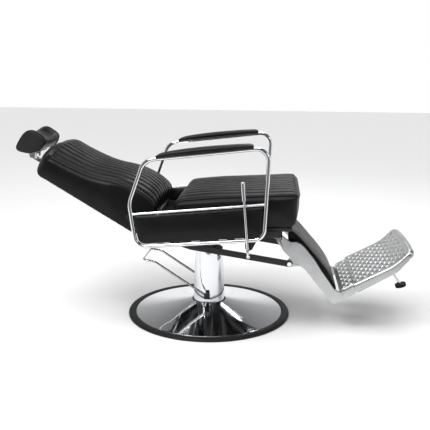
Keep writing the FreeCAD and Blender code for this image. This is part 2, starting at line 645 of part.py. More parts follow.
def headrest_parts():
    depth = size("stem_depth")
    thick = size("stem_thick")
    near, far = depth - thick / 2, depth + thick / 2
    channel = plate("guide_block", slab((-112, -12), (0.5, 19)), "68", -34)
    passage = plate("guide_passage", slab((-115, -9), (near - 3.2, far + 0.1)), "sizes.stem_width + 0.2",
                    -size("stem_width") / 2 - 0.1)
    keep(cut("headrest_guide", channel, [passage]), "headrest_guide")
    bar = plate("stem_bar", slab((-130, 138), (near, far)), "sizes.stem_width", -size("stem_width") / 2)
    px, pz = size("head_pivot_x"), size("head_pivot_height")
    barrel = cylinder("stem_barrel", "8", "60", (px, -30, pz), (0, 1, 0))
    hollow = cylinder("stem_barrel_bore", "5", "62", (px, -31, pz), (0, 1, 0))
    keep(cut("headrest_stem", join("stem_blank", [bar, barrel]), [hollow]), "headrest_stem")
    notches = []
    for index in range(12):
        low = -18 + index * 10
        notches += slab((low, low + 6), (near - 3, near - 3))[:2] + slab((low + 6, low + 10), (near - 1, near))[:2]
    rack = [along_back(-18, near)] + notches + [along_back(102, near)]
    keep(plate("headrest_rack_body", rack, "12", -6), "headrest_rack")
    keep(cylinder("headrest_pin_bar", "5", "76", (px, -38, pz), (0, 1, 0)), "headrest_pin")
    strip = [(-793, 700), (-748, 691.2), (-715, 699), (-715, 694.5), (-748, 686.7), (-793, 695.5)]
    wing = plate("bracket_strip", strip, "90", -45)
    pieces = [wing]
    for side, sign in SIDES:
        lug = [(px - 10, pz - 9), (px + 10, pz - 9), (px + 15, 691.5), (px - 16, 693.5)]
        pieces.append(plate("bracket_lug_" + side, lug, "6", sign * 34.2 - 3,
                            holes=(((px, pz), "5 + sizes.running_gap"),)))
    keep(join("headrest_bracket_weld", pieces), "headrest_bracket")
    cushion = [(-801, 716), (-791, 700.5), (-748, 691.8), (-699, 703.5), (-678, 730), (-673, 750),
               (-695, 771), (-727, 790), (-757, 782), (-780, 752)]
    keep(plate("headrest_cushion_body", cushion, "2 * sizes.head_half_width", -size("head_half_width")),
         "headrest_cushion")


# ================================================================ links and legrest
def leg_parts():
    rear = (size("link_rear_x"), size("link_rear_height"))
    front = (size("link_front_x"), size("link_front_height"))
    knee = (size("link_knee_x"), size("link_knee_height"))
    outline, ends = strap_outline([rear, knee, front], size("link_width"))
    pivot = ("sizes.leg_pivot_x", "sizes.leg_pivot_height")
    foot = ("sizes.foot_pivot_x", "sizes.foot_pivot_height")
    lug_hole = ("sizes.link_front_x", "sizes.link_front_height")
    rail = [
        (303, 400), (326, 382), (342, 371), (366, 371), (384, 363), (400, 348), (439, 302), (470, 254),
        (526, 176), (548, 166), (603, 196.5), (612, 188), (610, 172), (603, 163), (541, 125),
        (524, 119), (508, 126), (488, 157), (426, 233), (403, 260), (346, 303), (320, 328),
        (288, 374), (283, 386), (291, 398),
    ]
    lug = [(349, 305), (400, 266), (411, 282), (371, 316)]
    tongue = [(349, 305), (371, 316), (411, 282), (400, 266), (352, 262), (337, 261), (329, 268), (329, 281)]
    pins = []
    for side, sign in SIDES:
        inner = size("link_inner")
        low = inner if sign > 0 else -inner - size("link_thick")
        keep(plate("link_%s_body" % side, outline, "sizes.link_thick", low,
                   holes=((("sizes.link_rear_x", "sizes.link_rear_height"),
                           "sizes.link_rod_radius + sizes.running_gap"),
                          (lug_hole, "sizes.link_pin_radius")),
                   rounds=((12, ends),)), "link_" + side)
        shank = cylinder("link_pin_shank_" + side, "sizes.link_pin_radius", "24",
                         (front[0], sign * 142, front[1]), (0, sign, 0))
        head = cylinder("link_pin_head_" + side, "9", "4", (front[0], sign * 165, front[1]), (0, sign, 0))
        pins.append(join("link_pin_" + side, [shank, head]))
        inner = size("rail_inner")
        low = inner if sign > 0 else -inner - size("rail_thick")
        flange = plate("rail_flange_" + side, rail, "sizes.rail_thick", low,
                       holes=((pivot, "sizes.leg_bolt_radius + sizes.running_gap"), (foot, "5.05")))
        web = plate("rail_web_" + side, lug, "10", 156 if sign > 0 else -166)
        ear = plate("rail_lug_" + side, tongue, "11", 145 if sign > 0 else -156,
                    holes=((lug_hole, "sizes.lug_hole_radius"),))
        keep(join("leg_rail_%s_cast" % side, [flange, web, ear]), "leg_rail_" + side)
    keep(group("link_pin_pair", pins), "link_pins")
    front_face = [(345, 418), (385, 378), (427, 334), (484, 270), (520, 212), (538, 172)]
    pad = front_face + [(517, 159), (488, 188), (448, 242), (392, 306), (352, 350), (331, 366), (331, 418)]
    keep(plate("calf_pad_body", pad, "320", -160), "calf_pad")
    board = [(516.5, 158), (488, 187), (448, 241), (392, 305), (352, 349), (346, 343), (386, 299),
             (442, 235), (482, 181), (510, 152)]
    keep(plate("calf_board_body", board, "270", -135), "calf_board")
    rods = []
    for index, (x, z) in enumerate(((409, 262), (503, 144))):
        rods.append(cylinder("leg_spreader%d" % index, "6", "2 * sizes.rail_inner",
                             (x, -size("rail_inner"), z), (0, 1, 0)))
    keep(group("leg_spreader_set", rods), "leg_spreaders")


# ================================================================ footplate
def tread_parts():
    half = size("tread_half_width")
    px, pz = size("foot_pivot_x"), size("foot_pivot_height")
    outer = [(600, 206), (737, 281), (798, 338), (812, 354), (826, 345), (820, 330), (784, 279),
             (739, 250), (618, 177), (605, 184)]
    shell = plate("tread_shell", outer, "2 * sizes.tread_half_width", -half)
    inner = [(590, 194), (603, 200.5), (733, 272), (793, 328), (806, 343), (816, 334), (815, 310),
             (784, 262), (620, 160), (590, 172)]
    hollow = plate("tread_hollow", inner, "2 * (sizes.tread_half_width - sizes.tread_wall)",
                   -half + size("tread_wall"))
    tray = cut("tread_tray", shell, [hollow])
    tongue = plate("tread_tongue", [(556, 182), (602, 207), (605, 201.5), (559, 176)], "356", -178)
    knuckle = [(px - 8, pz - 3), (px - 3, pz - 8), (px + 6, pz - 6), (px + 9, pz + 20), (px, pz + 21.5)]
    barrel = plate("tread_knuckle", knuckle, "328", -164, holes=(((px, pz), "5"),))
    keep(join("tread_cast", [tray, tongue, barrel]), "footplate")
    keep(cylinder("footplate_pin_bar", "5", "364", (px, -182, pz), (0, 1, 0)), "footplate_pin")
    head = vector(734, 0, 271)
    ball = vector(814.5, 0, 157)
    rod = cylinder("stop_rod_bar", "sizes.stop_rod_radius", text((ball - head).Length), tuple(head),
                   tuple(ball - head))
    collar = cylinder("stop_rod_collar", "9", "6", tuple(head + (ball - head).normalize() * 8),
                      tuple(ball - head))
    keep(join("stop_rod_turned", [rod, collar]), "stop_rod")
    lean = vector(-0.291, 0, 0.957)
    centre = vector(818, 0, 151)
    disc = cylinder("stop_foot_disc", "sizes.stop_foot_radius", "sizes.stop_foot_thick",
                    tuple(centre - lean * 6), tuple(lean))
    socket = cylinder("stop_foot_socket", "sizes.stop_rod_radius", text((ball - head).Length), tuple(head),
                      tuple(ball - head))
    keep(cut("stop_foot", disc, [socket]), "stop_foot")


base_parts()
pump_parts()
pedal_parts()
seat_structure()
arm_parts()
hinge_parts()
lock_parts()
back_parts()
headrest_parts()
leg_parts()
tread_parts()
doc.recompute()

broken = [item.Name for item in doc.Objects if {"Invalid", "Error"} & set(item.State)]
for label, piece in nodes.items():
    if piece.Shape.isNull() or not piece.Shape.isValid() or not piece.Shape.Solids:
        broken.append(label)
if broken:
    raise SystemExit("failed: " + ", ".join(sorted(set(broken))))
if len(nodes) > 60:
    raise SystemExit("too many nodes: %d" % len(nodes))
for label, piece in nodes.items():
    piece.Shape.exportStep("parts/%s.step" % label)
    print("%-20s %2d solid(s) %10.1f cm3" % (label, len(piece.Shape.Solids), piece.Shape.Volume / 1000))
print(len(nodes), "nodes")
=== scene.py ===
import json
import math

import bmesh
import bpy
import numpy as np
from mathutils import Matrix, Vector
from mathutils.bvhtree import BVHTree


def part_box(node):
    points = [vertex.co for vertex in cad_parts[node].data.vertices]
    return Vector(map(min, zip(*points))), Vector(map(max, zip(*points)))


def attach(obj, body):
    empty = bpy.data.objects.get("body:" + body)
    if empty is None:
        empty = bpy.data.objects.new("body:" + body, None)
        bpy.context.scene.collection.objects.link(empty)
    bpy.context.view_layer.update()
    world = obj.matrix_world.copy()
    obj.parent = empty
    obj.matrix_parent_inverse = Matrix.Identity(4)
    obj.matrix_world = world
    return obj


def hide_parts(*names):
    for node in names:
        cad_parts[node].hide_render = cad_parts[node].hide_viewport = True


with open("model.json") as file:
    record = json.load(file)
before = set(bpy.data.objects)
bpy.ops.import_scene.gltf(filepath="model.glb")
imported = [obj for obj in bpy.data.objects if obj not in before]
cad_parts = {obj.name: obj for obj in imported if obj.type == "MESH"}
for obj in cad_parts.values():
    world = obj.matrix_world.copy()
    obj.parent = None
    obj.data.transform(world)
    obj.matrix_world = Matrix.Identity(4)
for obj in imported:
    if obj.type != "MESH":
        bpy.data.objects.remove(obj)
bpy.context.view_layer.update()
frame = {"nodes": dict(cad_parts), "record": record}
nodes = frame["nodes"]
scene = bpy.context.scene
MM = 0.001
SIDES = (("left", 1), ("right", -1))
ARM_MIDDLE = 297                        # the arm pads' and side panels' place across, mm
BACK_SLOPE = math.radians(31.06)        # how far the laid-back backrest stands above level
EVEN_ROUNDS = 24                        # averaging rounds that take the cloth's ripples out
STITCH_PITCH, STITCH_LENGTH, STITCH_RADIUS = 0.0075, 0.0042, 0.00045

# The point of view, in metres and degrees: yaw from +Y towards -X, pitch downwards, roll.
CAMERA_PLACE = (0.2730, -2.7492, 1.0473)
CAMERA_TURN = (5.186, 12.561, 0.487)
CAMERA_LENS, CAMERA_SENSOR = 55.49, 36

# Soft boxes: name, place, target, width, power, height over width.
SOFT_BOXES = (
    ("key", (-1.3, -1.7, 2.9), (-0.1, 0, 0.45), 1.2, 34, 0.7),
    ("front", (-1.0, -2.7, 2.3), (-0.3, 0, 0.5), 1.3, 22, 0.35),
    ("fill", (2.6, -1.4, 1.9), (0.3, 0, 0.4), 0.7, 9, 1.4),
    ("rim", (0.6, 2.4, 2.6), (0, 0, 0.5), 1.5, 18, 0.6),
)
# Brightness of the surroundings by height, and of the darker room in front of the chair.
SKY_STOPS = ((0.0, 1.0), (0.12, 1.0), (0.30, 0.45), (0.6, 0.2), (1.0, 0.1))
ROOM_STOPS = ((0.35, 1.0), (0.72, 0.19))
FLOOR_REACH, FLOOR_FRONT = 14, -1.4


# ---------------- camera, light and floor
def look(yaw, pitch, roll):
    """Camera axes for a heading: yaw turns from +Y towards -X, pitch is downwards."""
    ahead = Vector((-math.sin(yaw) * math.cos(pitch), math.cos(yaw) * math.cos(pitch),
                    -math.sin(pitch)))
    right = Vector((math.cos(yaw), math.sin(yaw), 0))
    up = right.cross(ahead)
    across = right * math.cos(roll) + up * math.sin(roll)
    above = up * math.cos(roll) - right * math.sin(roll)
    return Matrix((across, above, -ahead)).transposed()


def add_camera():
    data = bpy.data.cameras.new("camera")
    data.sensor_width = CAMERA_SENSOR
    data.lens = CAMERA_LENS
    camera = bpy.data.objects.new("camera", data)
    scene.collection.objects.link(camera)
    turn = look(*(math.radians(angle) for angle in CAMERA_TURN))
    camera.matrix_world = Matrix.Translation(CAMERA_PLACE) @ turn.to_4x4()
    scene.camera = camera


def add_light(name, spot, target, size, power, stretch):
    data = bpy.data.lights.new(name, "AREA")
    data.shape = "RECTANGLE"
    data.size = size
    data.size_y = size * stretch
    data.energy = power
    lamp = bpy.data.objects.new(name, data)
    scene.collection.objects.link(lamp)
    lamp.location = spot
    lamp.rotation_euler = (Vector(target) - Vector(spot)).to_track_quat("-Z", "Y").to_euler()


def grey_ramp(tree, source, stops, blue=1.0):
    """A ramp of greys over a value, with their blue part scaled."""
    ramp = tree.nodes.new("ShaderNodeValToRGB")
    elements = ramp.color_ramp.elements
    while len(elements) < len(stops):
        elements.new(0.5)
    for element, (place, value) in zip(elements, stops):
        element.position = place
        element.color = (value, value, value * blue, 1)
    tree.links.new(source, ramp.inputs[0])
    return ramp.outputs[0]


def add_surroundings():
    """A studio that is bright at the horizon, dark overhead and darker on the -Y side."""
    world = bpy.data.worlds.new("studio")
    world.use_nodes = True
    tree = world.node_tree
    coords = tree.nodes.new("ShaderNodeTexCoord")
    split = tree.nodes.new("ShaderNodeSeparateXYZ")
    tree.links.new(coords.outputs["Generated"], split.inputs[0])
    forward = tree.nodes.new("ShaderNodeMath")
    forward.operation = "MULTIPLY"
    forward.inputs[1].default_value = -1
    tree.links.new(split.outputs["Y"], forward.inputs[0])
    shade = tree.nodes.new("ShaderNodeMix")
    shade.data_type = "RGBA"
    shade.blend_type = "MULTIPLY"
    shade.inputs["Factor"].default_value = 1
    tree.links.new(grey_ramp(tree, split.outputs["Z"], SKY_STOPS, 1.005), shade.inputs["A"])
    tree.links.new(grey_ramp(tree, forward.outputs[0], ROOM_STOPS), shade.inputs["B"])
    back = tree.nodes["Background"]
    back.inputs["Strength"].default_value = 1
    tree.links.new(shade.outputs["Result"], back.inputs["Color"])
    scene.world = world
    scene.view_settings.view_transform = "Standard"


def add_lights():
    for box in SOFT_BOXES:
        add_light(*box)
    data = bpy.data.lights.new("overhead", "SUN")
    data.energy = 2.3
    data.angle = math.radians(60)
    sun = bpy.data.objects.new("overhead", data)
    scene.collection.objects.link(sun)
    sun.rotation_euler = (math.radians(14), math.radians(-10), 0)


def add_floor():
    corners = [(-FLOOR_REACH, FLOOR_FRONT, 0), (FLOOR_REACH, FLOOR_FRONT, 0),
               (FLOOR_REACH, FLOOR_REACH, 0), (-FLOOR_REACH, FLOOR_REACH, 0)]
    material, _, shader = new_material("pale_floor", (0.93, 0.93, 0.93), 0, 0.6)
    shader.inputs["Specular IOR Level"].default_value = 0.2
    floor = add_mesh("floor", corners, [(0, 1, 2, 3)], material, False)


# ---------------- materials
def new_material(name, colour, metallic, roughness):
    """A material, its node tree and its shader; constants sit on the shader's own sockets."""
    material = bpy.data.materials.new(name)
    material.use_nodes = True
    tree = material.node_tree
    shader = tree.nodes["Principled BSDF"]
    shader.inputs["Base Color"].default_value = (*colour, 1)
    shader.inputs["Metallic"].default_value = metallic
    shader.inputs["Roughness"].default_value = roughness
    return material, tree, shader


def texture(tree, kind, scale, stretch=(1, 1, 1), **values):
    """A procedural texture in object space; scale is in cells to the metre."""
    coords = tree.nodes.new("ShaderNodeTexCoord")
    mapping = tree.nodes.new("ShaderNodeMapping")
    mapping.inputs["Scale"].default_value = stretch
    node = tree.nodes.new(kind)
    node.inputs["Scale"].default_value = scale
    for key, value in values.items():
        if key in ("feature", "bands_direction"):
            setattr(node, key, value)
        else:
            node.inputs[key].default_value = value
    tree.links.new(coords.outputs["Object"], mapping.inputs[0])
    tree.links.new(mapping.outputs[0], node.inputs["Vector"])
    return node


def vary(tree, shader, socket, source, low, high):
    """The socket runs from low to high with the texture."""
    span = tree.nodes.new("ShaderNodeMapRange")
    span.inputs["From Min"].default_value = 0.3
    span.inputs["From Max"].default_value = 0.7
    span.inputs["To Min"].default_value = low
    span.inputs["To Max"].default_value = high
    tree.links.new(source, span.inputs["Value"])
    tree.links.new(span.outputs[0], shader.inputs[socket])


def tint(tree, shader, source, dark, light):
    """The base colour runs between two colours with the texture."""
    ramp = tree.nodes.new("ShaderNodeValToRGB")
    first, last = ramp.color_ramp.elements
    first.position, last.position = 0.3, 0.7
    first.color = (*dark, 1)
    last.color = (*light, 1)
    tree.links.new(source, ramp.inputs[0])
    tree.links.new(ramp.outputs[0], shader.inputs["Base Color"])


def bumps(tree, shader, layers):
    """Bump layers (height, strength, depth in metres), coarse first."""
    above = None
    for height, strength, depth in layers:
        node = tree.nodes.new("ShaderNodeBump")
        node.inputs["Strength"].default_value = strength
        node.inputs["Distance"].default_value = depth
        tree.links.new(height, node.inputs["Height"])
        if above:
            tree.links.new(above.outputs[0], node.inputs["Normal"])
        above = node
    tree.links.new(above.outputs[0], shader.inputs["Normal"])


def times(colour, factor):
    return tuple(value * factor for value in colour)


def vinyl(name, colour, roughness=0.42, grain=0.22):
    """Grained upholstery vinyl: fine cells, pores and soft creases, with a slight sheen."""
    material, tree, shader = new_material(name, colour, 0, roughness)
    cells = texture(tree, "ShaderNodeTexVoronoi", 620, feature="DISTANCE_TO_EDGE")
    pores = texture(tree, "ShaderNodeTexNoise", 1900, Detail=3)
    creases = texture(tree, "ShaderNodeTexNoise", 34, Detail=4, Distortion=0.4)
    patches = texture(tree, "ShaderNodeTexNoise", 11, Detail=2)
    tint(tree, shader, patches.outputs[0], times(colour, 0.8), times(colour, 1.25))
    vary(tree, shader, "Roughness", creases.outputs[0], roughness - 0.05, roughness + 0.06)
    bumps(tree, shader, ((creases.outputs[0], 0.16, 0.004),
                         (cells.outputs["Distance"], grain, 0.0006),
                         (pores.outputs[0], 0.1, 0.0002)))
    shader.inputs["Specular IOR Level"].default_value = 0.22
    return material


def chrome(name, colour=(0.80, 0.81, 0.83), roughness=0.055):
    """Chrome plate: faint smears and the slight waviness of polished tube."""
    material, tree, shader = new_material(name, colour, 1, roughness)
    smears = texture(tree, "ShaderNodeTexNoise", 26, (1, 1, 0.35), Detail=5)
    wave = texture(tree, "ShaderNodeTexNoise", 14, Detail=1)
    vary(tree, shader, "Roughness", smears.outputs[0], roughness * 0.6, roughness * 1.9)
    tint(tree, shader, smears.outputs[0], times(colour, 0.97), colour)
    bumps(tree, shader, ((wave.outputs[0], 0.12, 0.0012),))
    return material


def cast(name, colour=(0.58, 0.585, 0.59), roughness=0.33):
    """Polished cast aluminium: fine grain, cloudy polish and faint sanding lines."""
    material, tree, shader = new_material(name, colour, 1, roughness)
    cloud = texture(tree, "ShaderNodeTexNoise", 17, Detail=4)
    lines = texture(tree, "ShaderNodeTexNoise", 210, (1, 9, 1), Detail=2)
    grain = texture(tree, "ShaderNodeTexNoise", 1400, Detail=2)
    tint(tree, shader, cloud.outputs[0], times(colour, 0.86), times(colour, 1.06))
    vary(tree, shader, "Roughness", cloud.outputs[0], roughness - 0.06, roughness + 0.1)
    bumps(tree, shader, ((lines.outputs[0], 0.1, 0.0004), (grain.outputs[0], 0.12, 0.0003)))
    return material


def coated(name, colour=(0.009, 0.009, 0.0095), roughness=0.42):
    """Powder-coated steel: orange peel, with rubbed duller patches."""
    material, tree, shader = new_material(name, colour, 0, roughness)
    peel = texture(tree, "ShaderNodeTexNoise", 520, Detail=1)
    rubbed = texture(tree, "ShaderNodeTexNoise", 22, Detail=3)
    tint(tree, shader, rubbed.outputs[0], times(colour, 0.8), times(colour, 1.5))
    vary(tree, shader, "Roughness", rubbed.outputs[0], roughness - 0.06, roughness + 0.1)
    bumps(tree, shader, ((peel.outputs[0], 0.25, 0.0004),))
    return material


def machined(name, colour=(0.55, 0.55, 0.56), roughness=0.3):
    """Turned or drawn steel: fine lines round the part, light oil staining."""
    material, tree, shader = new_material(name, colour, 1, roughness)
    lines = texture(tree, "ShaderNodeTexNoise", 160, (1, 1, 12), Detail=3)
    stain = texture(tree, "ShaderNodeTexNoise", 30, Detail=4)
    tint(tree, shader, stain.outputs[0], times(colour, 0.75), colour)
    vary(tree, shader, "Roughness", lines.outputs[0], roughness - 0.08, roughness + 0.12)
    bumps(tree, shader, ((lines.outputs[0], 0.12, 0.0003),))
    return material


def moulded(name, colour, roughness, grain_scale=900, depth=0.0004):
    """Moulded rubber or plastic: fine matt texture and dusty variation."""
    material, tree, shader = new_material(name, colour, 0, roughness)
    grain = texture(tree, "ShaderNodeTexNoise", grain_scale, Detail=2)
    dust = texture(tree, "ShaderNodeTexNoise", 18, Detail=5)
    tint(tree, shader, dust.outputs[0], times(colour, 0.8), times(colour, 1.35))
    vary(tree, shader, "Roughness", dust.outputs[0], roughness - 0.05, roughness + 0.08)
    bumps(tree, shader, ((grain.outputs[0], 0.25, depth),))
    shader.inputs["Specular IOR Level"].default_value = 0.22
    return material


def woven(name, colour):
    """Black dust cover stretched over a board: a fine plain weave."""
    material, tree, shader = new_material(name, colour, 0, 0.85)
    warp = texture(tree, "ShaderNodeTexWave", 210, bands_direction="X")
    weft = texture(tree, "ShaderNodeTexWave", 210, bands_direction="Y")
    cloud = texture(tree, "ShaderNodeTexNoise", 12, Detail=3)
    tint(tree, shader, cloud.outputs[0], times(colour, 0.75), times(colour, 1.4))
    bumps(tree, shader, ((warp.outputs[0], 0.3, 0.0004), (weft.outputs[0], 0.3, 0.0004)))
    return material


def make_materials():
    """The record's material slots, and the thread."""
    black = (0.0038, 0.0038, 0.0041)
    return {
        "leather_black": vinyl("vinyl_black", black, 0.38),
        "leather_grey": vinyl("vinyl_grey", (0.02, 0.02, 0.021), 0.5, 0.3),
        "chrome": chrome("chrome_plate"),
        "cast_aluminium": cast("aluminium_cast"),
        "black_steel": coated("steel_black"),
        "bare_steel": machined("steel_bare"),
        "cast_iron": coated("iron_painted", (0.03, 0.03, 0.032), 0.55),
        "rubber": moulded("rubber_black", (0.007, 0.007, 0.007), 0.5),
        "black_plastic": moulded("plastic_black", (0.006, 0.006, 0.0065), 0.36, 1300, 0.0003),
        "bronze": machined("bronze_bush", (0.42, 0.28, 0.13), 0.35),
        "covered_board": woven("dust_cover", (0.02, 0.02, 0.02)),
        "thread": moulded("thread_black", (0.012, 0.012, 0.013), 0.6, 2500, 0.0002),
    }


def dress(obj, material):
    """Puts a material on every slot of an object, leaving a CAD node's mesh as it is."""
    if not obj.material_slots:
        obj.data.materials.append(material)
    for holder in obj.material_slots:
        holder.link = "OBJECT"
        holder.material = material


def dress_cad_nodes():
    """Every node that stays gets its procedural material, softened edges and even normals."""
    slots = {item["node"]: item["material_slot"] for item in frame["record"]["subparts"]}
    for name, obj in nodes.items():
        dress(obj, materials[slots[name]])
        soften(obj, EDGE_ROUNDS.get(name, PLAIN_ROUND))


def add_weld(obj):
    weld = obj.modifiers.new("weld", "WELD")
    weld.merge_threshold = 0.00001


def soften(obj, width):
    """Weld, a small bevel on the sharp edges, and weighted normals, all as modifiers."""
    add_weld(obj)
    bevel = obj.modifiers.new("edges", "BEVEL")
    bevel.width = width
    bevel.segments = 2
    bevel.limit_method = "ANGLE"
    bevel.angle_limit = math.radians(32)
    bevel.use_clamp_overlap = True
    normals = obj.modifiers.new("normals", "WEIGHTED_NORMAL")
    normals.keep_sharp = False
    normals.weight = 60


# ---------------- mesh tools
def add_mesh(name, points, faces, material, smooth=True):
    mesh = bpy.data.meshes.new(name)
    mesh.from_pydata([tuple(point) for point in points], [], [tuple(face) for face in faces])
    mesh.validate()
    mesh.polygons.foreach_set("use_smooth", [smooth] * len(mesh.polygons))
    mesh.materials.append(material)
    mesh.update()
    obj = bpy.data.objects.new(name, mesh)
    scene.collection.objects.link(obj)
    return obj


def tube_faces(rings, count, base=0):
    """Faces of a tube of rings, each of count points, with both ends capped."""
    faces = []
    for ring in range(rings - 1):
        start = base + ring * count
        for step in range(count):
            after = (step + 1) % count
            faces.append((start + step, start + after,
                          start + count + after, start + count + step))
    faces.append(tuple(base + step for step in range(count))[::-1])
    faces.append(tuple(base + (rings - 1) * count + step for step in range(count)))
    return faces


def face_outwards(obj):
    work = bmesh.new()
    work.from_mesh(obj.data)
    bmesh.ops.recalc_face_normals(work, faces=work.faces)
    work.to_mesh(obj.data)
    work.free()


def bake_modifiers(obj):
    """The modifiers' result becomes the object's own mesh."""
    bpy.context.view_layer.update()
    graph = bpy.context.evaluated_depsgraph_get()
    mesh = bpy.data.meshes.new_from_object(obj.evaluated_get(graph), depsgraph=graph)
    obj.modifiers.clear()
    old = obj.data
    obj.data = mesh
    bpy.data.meshes.remove(old)
    mesh.name = obj.name
    return obj


def read_vectors(source, kind):
    flat = np.empty(len(source) * 3, np.float32)
    source.foreach_get(kind, flat)
    return flat.reshape(-1, 3).astype(float)


def subdivide(obj):
    finer = obj.modifiers.new("finer", "SUBSURF")
    finer.levels = finer.render_levels = 1
    bake_modifiers(obj)


def get_points(obj):
    return read_vectors(obj.data.vertices, "co")


def set_points(obj, points):
    obj.data.vertices.foreach_set("co", points.astype(np.float32).ravel())
    obj.data.update()


def get_normals(obj):
    return read_vectors(obj.data.vertex_normals, "vector")


def smooth_run(points, steps=6):
    """A Catmull-Rom line through the points."""
    spots = [np.array(point, float) for point in points]
    spots = [2 * spots[0] - spots[1]] + spots + [2 * spots[-1] - spots[-2]]
    line = []
    for a, b, c, d in zip(spots, spots[1:], spots[2:], spots[3:]):
        for step in range(steps):
            t = step / steps
            line.append(0.5 * (2 * b + (c - a) * t + (2 * a - 5 * b + 4 * c - d) * t ** 2
                               + (3 * b - a - 3 * c + d) * t ** 3))
    line.append(spots[-2])
    return np.array(line)


def reach_along(line):
    """How far along the line each of its points lies."""
    return np.r_[0, np.cumsum(np.linalg.norm(np.diff(line, axis=0), axis=1))]


def spaced(line, count):
    """The line again with points at equal distances."""
    line = np.array(line, float)
    reach = reach_along(line)
    places = np.linspace(0, reach[-1], count)
    return np.stack([np.interp(places, reach, line[:, axis]) for axis in range(line.shape[1])], 1)


def step_between(low, high, values):
    """A smooth step from 0 at low to 1 at high."""
    t = np.clip((values - low) / (high - low), 0, 1)
    return t * t * (3 - 2 * t)


def loft(name, edge, crown, half, blend, columns, material):
    """A closed solid whose XZ outline goes from edge at its sides to crown where blend is 1."""
    points = []
    for y in np.linspace(-half, half, columns + 1):
        section = edge + (crown - edge) * float(blend(np.array([y]))[0])
        points += [(x * MM, y * MM, z * MM) for x, z in section]
    obj = add_mesh(name, points, tube_faces(columns + 1, len(edge)), material)
    face_outwards(obj)
    return obj


def even_out(obj, values, rounds):
    """Averages a value at each vertex with its neighbours, so no ripple is left."""
    ends = np.empty(len(obj.data.edges) * 2, np.int32)
    obj.data.edges.foreach_get("vertices", ends)
    first, second = ends.reshape(-1, 2).T
    number = np.bincount(ends, minlength=len(values))[:, None]
    for _ in range(rounds):
        total = np.zeros_like(values)
        np.add.at(total, first, values[second])
        np.add.at(total, second, values[first])
        values = 0.4 * values + 0.6 * total / np.maximum(number, 1)
    return values


def inflate(obj, voxel, held, cap, pressure, steps=20):
    """Voxel remesh, then cloth blown up from inside; held says which points stay put.

    No point moves further than cap (m).
    """
    remesh = obj.modifiers.new("remesh", "REMESH")
    remesh.mode = "VOXEL"
    remesh.voxel_size = voxel
    relax = obj.modifiers.new("relax", "SMOOTH")
    relax.factor = 0.5
    relax.iterations = 4
    bake_modifiers(obj)
    start = get_points(obj)
    group = obj.vertex_groups.new(name="held")
    chosen = [int(index) for index in np.nonzero(held(start))[0]]
    group.add(chosen, 1.0, "REPLACE")
    cloth = obj.modifiers.new("cloth", "CLOTH")
    settings = cloth.settings
    settings.quality = 4
    settings.mass = 0.25
    settings.tension_stiffness = 12
    settings.compression_stiffness = 12
    settings.shear_stiffness = 6
    settings.bending_stiffness = 0.6
    settings.use_pressure = True
    settings.uniform_pressure_force = pressure
    settings.vertex_group_mass = "held"
    settings.effector_weights.gravity = 0
    cloth.point_cache.frame_start = 1
    cloth.point_cache.frame_end = steps
    for step in range(1, steps + 1):
        scene.frame_set(step)
    graph = bpy.context.evaluated_depsgraph_get()
    swollen = obj.evaluated_get(graph).to_mesh()
    moved = even_out(obj, read_vectors(swollen.vertices, "co") - start, EVEN_ROUNDS)
    length = np.linalg.norm(moved, axis=1, keepdims=True)
    moved *= np.minimum(1, cap / np.maximum(length, 1e-9))
    obj.evaluated_get(graph).to_mesh_clear()
    obj.modifiers.clear()
    scene.frame_set(1)
    set_points(obj, start + moved)
    subdivide(obj)
    obj.data.polygons.foreach_set("use_smooth", [True] * len(obj.data.polygons))
    return obj


def segment_gap(spots, start, end):
    """Distance of each spot to a straight segment, and how far along it the nearest place is."""
    run = end - start
    part = ((spots - start) * run).sum(-1) / np.maximum((run * run).sum(-1), 1e-9)
    part = np.clip(part, 0, 1)
    return np.linalg.norm(spots - start - run * part[:, None], axis=1), part


def run_distance(points, edge, crown, weight):
    """Distance in XZ of each point to a run of outline, and how far along it the nearest place is.

    The run is blended between edge and crown by the point's own weight.
    """
    best = np.full(len(points), 1e9)
    along = np.zeros(len(points))
    spots = points[:, [0, 2]] / MM
    total = len(edge) - 1
    for index in range(total):
        start = edge[index] + (crown[index] - edge[index]) * weight[:, None]
        end = edge[index + 1] + (crown[index + 1] - edge[index + 1]) * weight[:, None]
        gap, part = segment_gap(spots, start, end)
        nearer = gap < best
        best = np.where(nearer, gap, best)
        along = np.where(nearer, (index + part) / total, along)
    return best, along


def round_sides(obj, panel, rest, half, blend, bulge, spare=lambda x: 1.0):
    """Bows the side faces outwards between the top seam and the lower edge.

    The bow is bulge (mm) at most, times spare at the point's place along X (mm).
    """
    points = get_points(obj)
    across = points[:, 1] / MM
    weight = blend(across)
    near, _ = run_distance(points, *panel, weight)
    far, _ = run_distance(points, *rest, weight)
    part = near / np.maximum(near + far, 1e-6)
    outer = step_between(half - 22, half - 2, np.abs(across))
    shift = bulge * np.sin(np.pi * part ** 0.6) ** 0.8 * outer * step_between(0, 12, near)
    shift = shift * spare(points[:, 0] / MM)
    points[:, 1] += np.sign(across) * shift * MM
    set_points(obj, points)


def round_corners(obj, place, direction, radius, half):
    """Rounds a cushion's corners in plan at the end that lies at place, facing direction (XZ)."""
    points = get_points(obj)
    ahead = np.array(direction, float)
    ahead /= np.linalg.norm(ahead)
    depth = (np.array(place, float) - points[:, [0, 2]] / MM) @ ahead
    inside = np.clip(radius - depth, 0, radius)
    cut = radius - np.sqrt(radius ** 2 - inside ** 2)
    across = points[:, 1] / MM
    outer = step_between(0.0, 0.9, np.abs(across) / half)
    points[:, 1] -= np.sign(across) * cut * outer * MM
    drop = 0.15 * cut * step_between(half - 2.2 * radius, half, np.abs(across))
    points[:, [0, 2]] -= ahead * drop[:, None] * MM
    set_points(obj, points)


